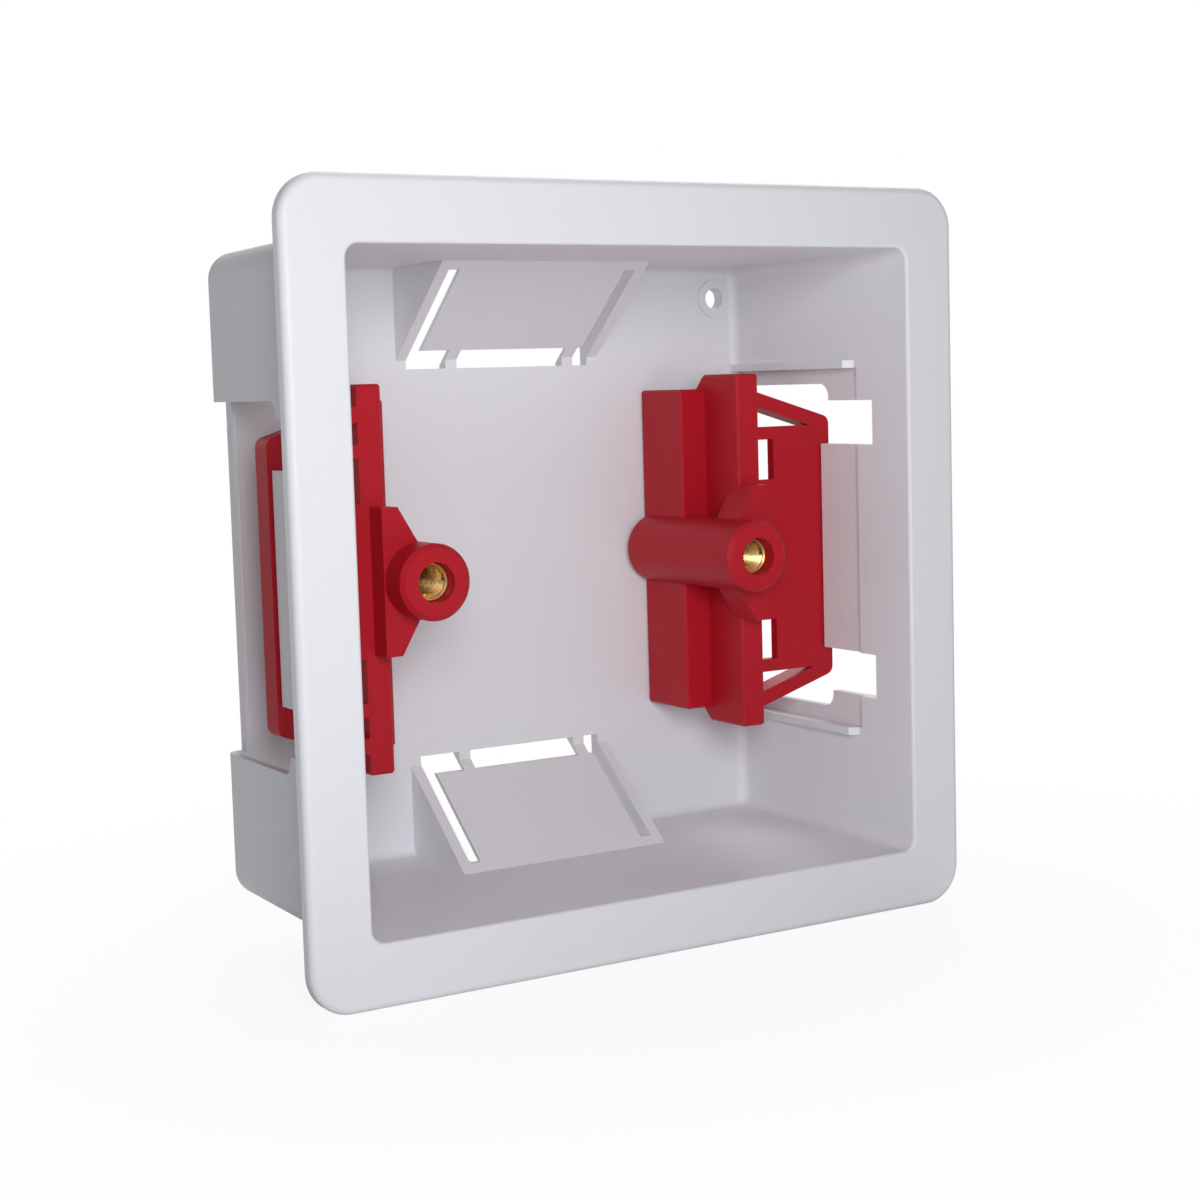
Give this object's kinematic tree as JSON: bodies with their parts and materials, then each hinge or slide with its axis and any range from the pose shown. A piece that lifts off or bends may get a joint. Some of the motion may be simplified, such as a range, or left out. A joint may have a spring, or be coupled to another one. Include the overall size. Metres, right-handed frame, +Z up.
{
  "type": "drywall back box",
  "caption": "Moulded drywall back box with a front flange, corner knock-outs and sliding clamp lugs with brass screw inserts.",
  "frame": {"origin": "centre of the wall cut-out, in the plane where the back of the flange seats on the board", "axes": "+Y into the wall, +Z up, +X to the right as seen from the room"},
  "size_m": [0.083, 0.035, 0.083],
  "materials": {
    "moulded_shell": "satin moulded, off-white with a cool tint",
    "moulded_lug": "semi-gloss moulded red",
    "brass_insert": "bright turned brass"
  },
  "bodies": {
    "box": {"box_body": "moulded_shell"},
    "left_lug": {"left_clamp": "moulded_lug", "left_insert": "brass_insert"},
    "right_lug": {"right_clamp": "moulded_lug", "right_insert": "brass_insert"}
  },
  "joints": [
    {"name": "left_lug_slide", "type": "slide", "parent": "box", "child": "left_lug", "axis": [-1, 0, 0], "range_m": [0, 0.0088]},
    {"name": "right_lug_slide", "type": "slide", "parent": "box", "child": "right_lug", "axis": [1, 0, 0], "range_m": [0, 0.0088]}
  ]
}
